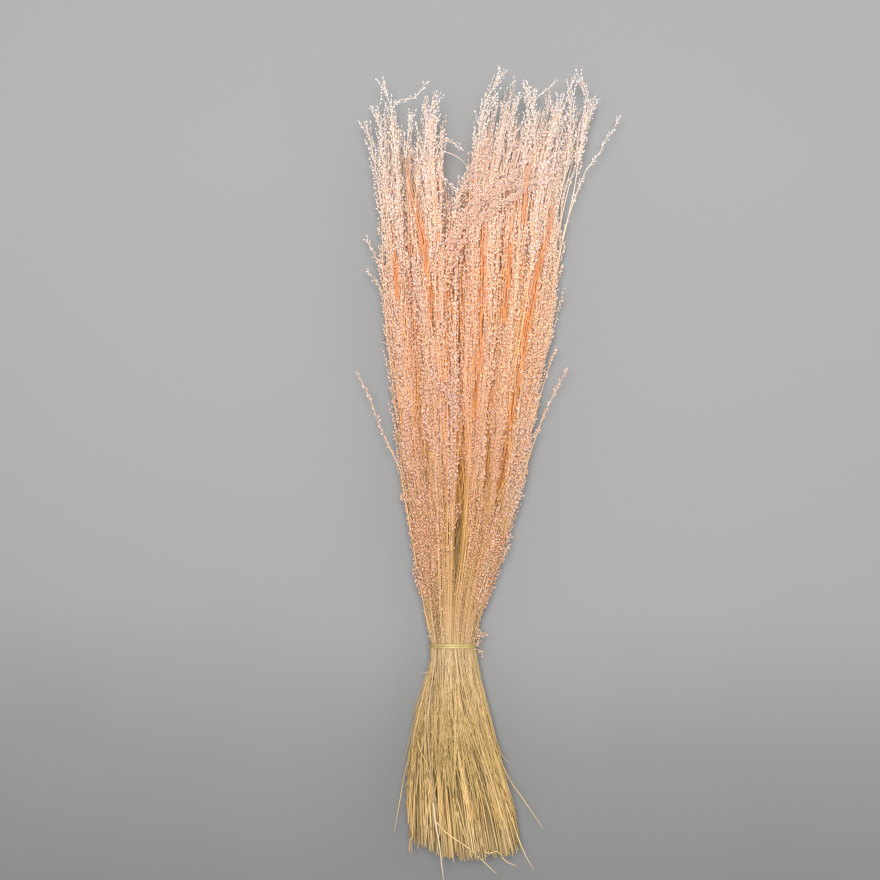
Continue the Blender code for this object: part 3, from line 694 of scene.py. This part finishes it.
def add_loose_straws(shape, lock):
    """Short, broken stems that lie askew over the foot of an outer lock, and fine hairs beside them."""
    number = lock - 1 - INNER_LOCKS
    if number < 0:
        return
    straws = LOOSE_STRAWS // OUTER_LOCKS
    count = straws + LOOSE_HAIRS // OUTER_LOCKS
    hair = np.arange(count) >= straws
    angle = (number + draw.uniform(-0.5, 0.5, count)) * FULL_TURN / OUTER_LOCKS - math.pi / 2
    start_y = draw.uniform(-0.085, -0.010, count)
    length = np.where(hair, draw.uniform(0.02, 0.06, count), draw.uniform(0.05, 0.13, count))
    end_y = np.maximum(start_y - length, -0.197)
    farthest = np.where(hair, draw.uniform(1.02, 1.16, count), draw.uniform(0.97, 1.02, count))
    starts = spot(angle, draw.uniform(0.90, 0.97, count), start_y)
    ends = spot(angle + draw.normal(-0.22, 0.42, count), farthest, end_y)
    steps = np.linspace(0, 1, 5)[None, :, None]
    paths = starts[:, None] + (ends - starts)[:, None] * steps
    thick = np.where(hair, 0.00018, draw.uniform(0.00028, 0.00062, count))
    radii = thick[:, None] * np.array([0.5, 0.9, 1.0, 1.0, 0.8])
    tiles = np.where(hair, STALK_TILES - 2, draw.integers(3, STALK_TILES, count))
    tubes(shape, paths, radii, tiles, STRAW_TILES, STEM_SIDES)


def add_parting_stems(shape, number):
    """Dyed stems side by side under the partings of a lock, a little below the plumes around them."""
    for lock, width, course in PARTINGS:
        if lock != number:
            continue
        across, away = metres(course)[::-1].T
        width = metres(width)
        steps = np.linspace(0, 1, 14)
        y = away[0] - 0.012 + steps * (away[-1] - away[0] + 0.024)
        beside = np.arange(-0.8 * width, 0.8 * width, 0.0011)
        x = np.interp(y, away, across)[None] + beside[:, None]
        x = x + draw.normal(0, 0.0004, x.shape).cumsum(axis=1)
        y = np.broadcast_to(y, x.shape)
        middle_x, middle_z, wide, up, _ = smooth(STATIONS, y)
        z = middle_z + PARTING_REACH * up * np.sqrt(np.clip(1 - ((x - middle_x) / wide) ** 2, 0.05, 1))
        z = z + draw.normal(0, 0.003, (len(beside), 1))
        paths = raised(np.stack([x, y, z], axis=-1).reshape(-1, 3)).reshape(*x.shape, 3)
        taper = np.sin(np.pi * (0.04 + 0.92 * steps)) ** 0.5
        radii = draw.uniform(0.00025, 0.0005, (len(beside), 1)) * taper
        # Their tile dims them: painted shade for the stems in a parting.
        tubes(shape, paths, radii, np.full(len(beside), PARTING_TILE), STRAW_TILES, STEM_SIDES)


def add_panicles(shape, stems, rows):
    """The panicles of one lock, rich on the outside of the bunch and sparse inside it."""
    rich = ease((stems.packed[rows] + stems.head_shift[rows] - 0.50) / 0.30)
    top = stems.top[rows]
    long, short = draw.uniform(0.17, 0.31, len(rows)), draw.uniform(0.10, 0.2, len(rows))
    length = np.where(rich > 0.3, long, short)
    bare = np.exp(-((np.cos(stems.angle[rows]) / 0.3) ** 2)) * (np.sin(stems.angle[rows]) > 0)
    low = np.minimum(np.maximum(top - length, 0.025 + 0.13 * bare), top - 0.05)
    steps = np.linspace(0, 1, 16)
    ys = low[:, None] + (top - low)[:, None] * steps
    curves = stems.points(rows[:, None], ys)
    unseen = 1 - 0.45 * ease(-np.sin(stems.angle[rows]) * 2 - 0.8)
    some = draw.uniform(0.8, 1.2, len(rows))
    counts = np.round((4.5 + 18 * rich) * unseen * some * (top - low) / 0.24)
    longest = LONGEST_BRANCH * draw.uniform(0.7, 1.1, len(rows))
    opening = draw.uniform(0.08, 0.22, len(rows))
    # Inner panicles get deeper salmon tones, painted shade inside the bunch; the rest is random.
    shade = 0.28 + 0.14 * rich + stems.shade[rows] + draw.normal(0, 0.05, len(rows))
    panicles(shape, curves, counts.astype(int), longest, opening, shade)


def add_line(straw_shape, plume_shape, line, pallor, tile):
    """One single line: its stem, and its branches where it has any."""
    radius, start_z, end_z = metres(line[1:4])
    plume, course = line[4], metres(line[5])
    way = np.concatenate([[0], np.cumsum(np.linalg.norm(np.diff(course, axis=0), axis=1))])
    way /= way[-1]
    steps = np.linspace(0, 1, 24)
    x, y = smooth(np.column_stack([way, course]), steps)
    z = start_z + (end_z - start_z) * steps
    path = raised(np.stack([x, y, z], axis=-1))[None]
    radii = radius * np.interp(steps, (0, 0.6, 1), (1.0, 0.85, 0.4))[None]
    radii = radii * (1 - 0.45 * ease((y - 0.10) / 0.15))
    tubes(straw_shape, path, radii, np.array([tile]), STRAW_TILES, STEM_SIDES)
    if plume:
        branches, share, longest, opening = plume
        last = np.linspace(1 - share, 1, 16)
        curve = along(np.repeat(path, 16, axis=0), np.arange(16), last)[None]
        shade = np.array([0.50 + pallor])
        opening = np.array([0.7 * opening])
        count = np.array([round(LINE_RICHNESS * branches)])
        panicles(plume_shape, curve, count, metres([longest]), opening, shade)


def add_caught_beads(shape, stems, rows):
    """Fallen spikelets that are caught between the outer stems of a lock, near the tie."""
    outer = rows[stems.packed[rows] > 0.78]
    if not len(outer):
        return
    count = CAUGHT_BEADS // OUTER_LOCKS
    sideward = 0.20 + np.abs(np.cos(stems.angle[outer]))
    hosts = draw.choice(outer, count, p=sideward / sideward.sum())
    low = draw.uniform(0, 1, count) < 0.2
    high = 0.15 - 0.155 * draw.uniform(0, 1, count) ** 0.5
    y = np.where(low, draw.uniform(-0.078, 0.0, count), high)
    bases = stems.points(hosts, y) + draw.normal(0, 0.0009, (count, 3))
    axes = unit(draw.normal(0, 1, (count, 3)) + (0, 1.6, 0))
    sizes = draw.uniform(0.45, 0.9, count) * np.where(low, 0.8, 1.0)
    tone = 0.45 + draw.normal(0, 0.16, count)
    beads(shape, bases, axes, BEAD_LENGTH * sizes, BEAD_WIDTH * sizes, tone)


def nodes_of(name):
    made = bpy.data.materials.new(name)
    made.use_nodes = True
    tree = made.node_tree
    return made, tree, tree.nodes["Principled BSDF"]


def plug(tree, socket, value):
    """Gives a socket a number, a vector, a colour or what another node makes."""
    if isinstance(value, (int, float)):
        socket.default_value = value
    elif isinstance(value, tuple):
        socket.default_value = (*value, 1) if socket.type == "RGBA" else value
    else:
        tree.links.new(value, socket)


def feed(tree, node, **inputs):
    """Gives a node's inputs their values. In their names _ stands for a space."""
    for name, value in inputs.items():
        plug(tree, node.inputs[name.replace("_", " ")], value)


def math_node(tree, operation, first, second):
    node = tree.nodes.new("ShaderNodeMath")
    node.operation = operation
    plug(tree, node.inputs[0], first)
    plug(tree, node.inputs[1], second)
    return node.outputs[0]


def ramp(tree, factor, stops):
    """A colour ramp with stops (place, linear colour)."""
    node = tree.nodes.new("ShaderNodeValToRGB")
    elements = node.color_ramp.elements
    while len(elements) < len(stops):
        elements.new(0.5)
    for element, (place, colour) in zip(elements, stops):
        element.position = place
        element.color = (*colour, 1)
    feed(tree, node, Fac=factor)
    return node.outputs["Color"]


def mixed(tree, blend, factor, first, second):
    node = tree.nodes.new("ShaderNodeMix")
    node.data_type = "RGBA"
    node.blend_type = blend
    node.clamp_result = False
    for name, value in (("Factor", factor), ("A", first), ("B", second)):
        plug(tree, next(s for s in node.inputs if s.name == name and s.enabled), value)
    return next(s for s in node.outputs if s.enabled)


def map_columns(tree, tile_count):
    """The tile, the place in the tile and the share along the bunch, read from the UV map."""
    uv_map = tree.nodes.new("ShaderNodeUVMap")
    uv_map.uv_map = "OFBake"
    split = tree.nodes.new("ShaderNodeSeparateXYZ")
    feed(tree, split, Vector=uv_map.outputs["UV"])
    columns = math_node(tree, "MULTIPLY", split.outputs["X"], tile_count)
    tile = math_node(tree, "FLOOR", columns, 0)
    inside = math_node(tree, "FRACT", columns, 0)
    return uv_map.outputs["UV"], tile, inside, split.outputs["Y"]


def noise_of(tree, coordinates, scale, detail):
    noise = tree.nodes.new("ShaderNodeTexNoise")
    feed(tree, noise, Vector=coordinates, Scale=scale, Detail=detail)
    return noise.outputs["Fac"]


def streaks(tree, coordinates, scale, detail):
    """A noise that is drawn out along the bunch."""
    mapping = tree.nodes.new("ShaderNodeMapping")
    feed(tree, mapping, Vector=coordinates, Scale=scale)
    return noise_of(tree, mapping.outputs["Vector"], 1.0, detail)


def bump(tree, shader, height, distance, strength):
    node = tree.nodes.new("ShaderNodeBump")
    feed(tree, node, Height=height, Distance=distance, Strength=strength)
    feed(tree, shader, Normal=node.outputs["Normal"])


def roughness(tree, shader, factor, smoothest, roughest):
    node = tree.nodes.new("ShaderNodeMapRange")
    feed(tree, node, Value=factor, To_Min=smoothest, To_Max=roughest)
    feed(tree, shader, Roughness=node.outputs["Result"])


# The straw's colours by the share along the bunch, on its outside and inside it, and what each
# of its tiles multiplies them by.
STRAW_OUTSIDE = (
    (0.0, (0.53, 0.39, 0.205)),
    (0.06, (0.50, 0.37, 0.190)),
    (0.10, (0.50, 0.345, 0.155)),
    (0.135, (0.40, 0.285, 0.125)),
    (0.17, (0.36, 0.25, 0.103)),
    (0.21, (0.41, 0.287, 0.130)),
    (0.24, (0.417, 0.295, 0.150)),
    (0.28, (0.425, 0.318, 0.183)),
    (0.33, (0.44, 0.287, 0.143)),
    (0.42, (0.55, 0.342, 0.138)),
    (0.58, (0.78, 0.48, 0.26)),
    (0.72, (0.90, 0.57, 0.355)),
    (0.84, (0.97, 0.76, 0.60)),
    (1.0, (0.96, 0.87, 0.80)),
)
# Darker than the outside from above the cut ends to the neck: painted shade inside the bunch.
STRAW_INSIDE_WITH_PAINTED_SHADE = (
    (0.0, (0.50, 0.37, 0.18)),
    (0.055, (0.42, 0.30, 0.14)),
    (0.09, (0.22, 0.155, 0.068)),
    (0.16, (0.135, 0.094, 0.040)),
    (0.21, (0.29, 0.205, 0.092)),
    (0.28, (0.42, 0.29, 0.13)),
    (0.34, (0.34, 0.23, 0.09)),
    (0.42, (0.40, 0.23, 0.08)),
    (0.50, (0.70, 0.33, 0.10)),
    (0.58, (0.96, 0.44, 0.14)),
    (0.74, (0.98, 0.46, 0.19)),
    (0.87, (0.96, 0.62, 0.42)),
    (1.0, (0.94, 0.84, 0.76)),
)
STRAW_TONES = (
    (0.0, (0.58, 0.46, 0.36)),
    (0.2, (0.82, 0.82, 0.64)),
    (0.4, (1.0, 0.98, 0.94)),
    (0.6, (1.06, 1.00, 0.93)),
    (0.80, (1.30, 1.32, 1.38)),
    # The parting tile, dimmer: painted shade for the stems that show in the partings.
    (0.85, (0.72, 0.60, 0.56)),
    (0.88, (0.72, 0.60, 0.56)),
    (0.92, (1.0, 1.0, 1.0)),
    (0.95, (1.0, 1.0, 1.0)),
    (1.0, (1.02, 1.14, 1.66)),
)


def straw_finish():
    """Dry stems: yellow straw at the foot, peach where the dye reached them, paler and darker ones."""
    made, tree, shader = nodes_of("straw")
    coordinates, tile, _, share = map_columns(tree, STRAW_TILES)
    outside = ramp(tree, share, STRAW_OUTSIDE)
    inside = ramp(tree, share, STRAW_INSIDE_WITH_PAINTED_SHADE)
    tone = ramp(tree, math_node(tree, "DIVIDE", tile, STRAW_TILES - 1), STRAW_TONES)
    evener = ramp(tree, share, ((0.40, (0.0, 0.0, 0.0)), (0.58, (0.6, 0.6, 0.6))))
    evener = math_node(tree, "MULTIPLY", evener, math_node(tree, "LESS_THAN", tile, STALK_TILES - 0.5))
    tone = mixed(tree, "MIX", evener, tone, (1.0, 1.0, 1.0))
    past = math_node(tree, "GREATER_THAN", tile, PARTING_TILE - 0.5)
    deep = math_node(tree, "MULTIPLY", past, math_node(tree, "LESS_THAN", tile, DEEP_TILE + 0.5))
    # Deep and parting stems take the inside colours, which carry painted shade.
    colour = mixed(tree, "MIX", deep, outside, inside)
    colour = mixed(tree, "MULTIPLY", 1.0, colour, tone)
    grain = streaks(tree, coordinates, (90.0, 26.0, 1.0), 4.0)
    stain = ramp(tree, grain, ((0.30, (0.80, 0.74, 0.66)), (0.62, (1.05, 1.05, 1.05))))
    colour = mixed(tree, "MULTIPLY", 1.0, colour, stain)
    feed(tree, shader, Base_Color=colour, Specular_IOR_Level=0.25)
    roughness(tree, shader, grain, 0.45, 0.70)
    bump(tree, shader, grain, 0.0002, 0.4)
    return made


# What a plume's colour is multiplied by: by the share along the bunch, and from a spikelet's base
# to its tip.
PLUME_BY_HEIGHT = (
    (0.25, (0.66, 0.54, 0.42)),
    (0.42, (0.72, 0.55, 0.43)),
    (0.55, (0.83, 0.66, 0.58)),
    (0.70, (0.97, 0.86, 0.77)),
    (0.80, (1.04, 0.99, 0.95)),
    (0.90, (1.02, 1.00, 0.98)),
)
SPIKELET_TIP = ((0.1, (0.99, 0.95, 0.92)), (0.45, (1.0, 1.0, 1.0)), (0.9, (1.0, 1.01, 1.01)))


def plume_finish():
    """Spikelets from salmon to nearly white, paler at their tips, and fine peach branches."""
    made, tree, shader = nodes_of("pink_plume")
    coordinates, tile, inside, share = map_columns(tree, PLUME_TILES)
    last_tile = PLUME_TILES - 1
    last_bead = (BEAD_TILES - 1) / last_tile
    stops = (
        (0.0, (0.94, 0.43, 0.29)),
        (0.25 * last_bead, (0.95, 0.52, 0.40)),
        (0.5 * last_bead, (0.955, 0.62, 0.53)),
        (0.75 * last_bead, (0.96, 0.73, 0.68)),
        (last_bead, (0.96, 0.85, 0.84)),
        (BEAD_TILES / last_tile, (0.94, 0.56, 0.31)),
        ((BEAD_TILES + YELLOW_TILES - 1) / last_tile, (0.96, 0.72, 0.49)),
        ((BEAD_TILES + YELLOW_TILES) / last_tile, (0.94, 0.50, 0.30)),
        (1.0, (0.96, 0.70, 0.54)),
    )
    colour = ramp(tree, math_node(tree, "DIVIDE", tile, last_tile), stops)
    colour = mixed(tree, "MULTIPLY", 1.0, colour, ramp(tree, share, PLUME_BY_HEIGHT))
    colour = mixed(tree, "MULTIPLY", 1.0, colour, ramp(tree, inside, SPIKELET_TIP))
    grain = streaks(tree, coordinates, (160.0, 300.0, 1.0), 2.0)
    fleck = ramp(tree, grain, ((0.32, (0.90, 0.86, 0.83)), (0.60, (1.02, 1.03, 1.03))))
    colour = mixed(tree, "MULTIPLY", 1.0, colour, fleck)
    feed(tree, shader, Base_Color=colour, Specular_IOR_Level=0.05, Subsurface_Weight=0.75)
    feed(tree, shader, Subsurface_Radius=(1.0, 0.7, 0.55), Subsurface_Scale=0.003)
    roughness(tree, shader, grain, 0.55, 0.80)
    bump(tree, shader, grain, 0.0002, 0.3)
    return made


def tie_finish():
    """Old elastic: olive-yellow, a little darker in patches, dull."""
    made, tree, shader = nodes_of("olive_elastic")
    place = tree.nodes.new("ShaderNodeTexCoord").outputs["Object"]
    noise = noise_of(tree, place, 220.0, 5.0)
    colour = ramp(tree, noise, ((0.3, (0.26, 0.195, 0.060)), (0.7, (0.37, 0.29, 0.110))))
    feed(tree, shader, Base_Color=colour)
    roughness(tree, shader, noise, 0.40, 0.60)
    bump(tree, shader, noise, 0.0003, 0.5)
    return made


def tie_piece(finish, tie_middle):
    """The elastic band: one loop that goes round twice and crosses itself underneath."""
    turn = FULL_TURN * np.arange(TIE_STEPS) / TIE_STEPS
    angle = TIE_TURNS * turn - math.pi / 2
    beside = TIE_SPACING / 2 * np.clip(3.0 * np.sin(turn), -1, 1)
    crossing = (1 - np.clip(2.0 * np.abs(np.sin(turn)), 0, 1)) * (np.cos(turn) > 0)
    out = TIE_CLEAR + TIE_CROSSING * crossing
    middle_x, middle_z, wide, tall, outline = section(angle, np.zeros(TIE_STEPS))
    x = middle_x + (TIE_SINK * wide * outline + out) * np.cos(angle)
    z = middle_z + (TIE_SINK * tall * outline + out) * np.sin(angle)
    sag = 0.0009 * np.clip(np.sin(angle), 0, 1)
    path = np.stack([x, beside + sag, z], axis=-1)
    tangent = unit(np.roll(path, -1, axis=0) - np.roll(path, 1, axis=0))
    along_y = np.array([0.0, 1.0, 0.0])
    outward = unit(np.cross(along_y, tangent))
    outward *= np.sign((outward * (path - (middle_x[0], 0, middle_z[0]))).sum(axis=1))[:, None]
    points = []
    for i in range(TIE_CORNERS):
        c, s = math.cos(FULL_TURN * i / TIE_CORNERS), math.sin(FULL_TURN * i / TIE_CORNERS)
        flat = TIE_WIDTH / 2 * math.copysign(abs(c) ** 0.6, c)
        thick = TIE_THICKNESS / 2 * math.copysign(abs(s) ** 0.6, s)
        points.append(path + flat * along_y + thick * outward)
    points = np.stack(points, axis=1).reshape(-1, 3)
    points[:, :2] += tie_middle
    faces = []
    for k in range(TIE_STEPS):
        low, high = k * TIE_CORNERS, (k + 1) % TIE_STEPS * TIE_CORNERS
        for j in range(TIE_CORNERS):
            n = (j + 1) % TIE_CORNERS
            faces.append((low + j, low + n, high + n, high + j))
    mesh = bpy.data.meshes.new("elastic_band")
    mesh.from_pydata(points.tolist(), [], faces)
    mesh.shade_smooth()
    mesh.materials.append(finish)
    return linked("elastic_band", mesh)


def place_camera(tie_middle):
    """Straight above the bunch, as far off and as long a lens as the view asks for."""
    camera = linked("camera", bpy.data.cameras.new("camera"))
    camera.data.sensor_width = SENSOR_WIDTH
    camera.data.lens = SENSOR_WIDTH * FOCAL_PIXELS / VIEW_PIXELS
    camera.location = (tie_middle[0] + CAMERA_X, tie_middle[1] + CAMERA_Y, TIE_HEIGHT + CAMERA_ABOVE)
    bpy.context.scene.camera = camera


def area_light(name, size, energy, colour, location, target):
    light = linked(name, bpy.data.lights.new(name, "AREA"))
    light.data.size = size
    light.data.energy = energy
    light.data.color = colour
    light.location = location
    direction = Vector(target) - Vector(location)
    light.rotation_euler = direction.to_track_quat("-Z", "Y").to_euler()


def light_scene():
    world = bpy.data.worlds.new("world")
    world.use_nodes = True
    background = world.node_tree.nodes["Background"]
    background.inputs["Color"].default_value = (0.97, 0.98, 1.0, 1)
    background.inputs["Strength"].default_value = 0.60
    bpy.context.scene.world = world
    area_light("key", 0.6, 120.0, (1.0, 0.98, 0.95), (-0.10, 0.22, 2.6), (0, 0.05, 0))
    area_light("fill", 1.4, 8.0, (1.0, 0.98, 0.96), (1.3, -0.3, 1.6), (0, 0, 0))


def lay_floor():
    bpy.ops.mesh.primitive_plane_add(size=12, location=(0, 0, 0))
    floor = bpy.context.object
    floor.name = "floor"
    made, tree, shader = nodes_of("floor_paper")
    place = tree.nodes.new("ShaderNodeTexCoord").outputs["Object"]
    split = tree.nodes.new("ShaderNodeSeparateXYZ")
    feed(tree, split, Vector=place)
    # Darker towards -y, below the tie: painted falloff of the light over the plain floor, in soft
    # patches.
    patches = math_node(tree, "MULTIPLY", noise_of(tree, place, 3.0, 2.0), 0.15)
    grey = math_node(tree, "ADD", math_node(tree, "ADD", split.outputs["Y"], 0.5), patches)
    stops = (
        (0.18, (0.100, 0.101, 0.103)),
        (0.32, (0.124, 0.126, 0.128)),
        (0.46, (0.162, 0.164, 0.167)),
        (0.90, (0.177, 0.181, 0.185)),
    )
    feed(tree, shader, Base_Color=ramp(tree, grey, stops), Roughness=0.8)
    floor.data.materials.append(made)


def dress(piece, node):
    """The piece moves with the bunch and stands for a node of the part."""
    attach(piece, "root")
    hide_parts(node)


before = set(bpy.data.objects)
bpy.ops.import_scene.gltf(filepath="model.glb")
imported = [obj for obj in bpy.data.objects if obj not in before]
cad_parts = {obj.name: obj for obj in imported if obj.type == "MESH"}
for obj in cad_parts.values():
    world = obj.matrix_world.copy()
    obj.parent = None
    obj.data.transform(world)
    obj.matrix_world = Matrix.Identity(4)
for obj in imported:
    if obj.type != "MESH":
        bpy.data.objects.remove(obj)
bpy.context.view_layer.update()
low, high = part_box("tie_band")
tie_middle = np.array([(low.x + high.x) / 2, (low.y + high.y) / 2])

bpy.context.scene.view_settings.view_transform = "Standard"
straw, plume = straw_finish(), plume_finish()
dress(tie_piece(tie_finish(), tie_middle), "tie_band")
stems = Stems(STEM_COUNT)
for number in range(LOCKS):
    rows = np.flatnonzero(stems.lock == number)
    stalks, heads = Shape(), Shape()
    add_straw(stalks, stems, rows)
    add_loose_straws(stalks, number)
    add_parting_stems(stalks, number)
    add_panicles(heads, stems, rows)
    for lines, pallor, tile in SINGLE_PLUMES:
        for line in lines:
            if line[0] == number:
                add_line(stalks, heads, line, pallor, tile)
    add_caught_beads(heads, stems, rows)
    dress(piece_of(stalks, f"straw_{number:02d}", straw, tie_middle), f"stems_{number:02d}")
    dress(piece_of(heads, f"panicles_{number:02d}", plume, tie_middle), f"plumes_{number:02d}")

place_camera(tie_middle)
light_scene()
lay_floor()
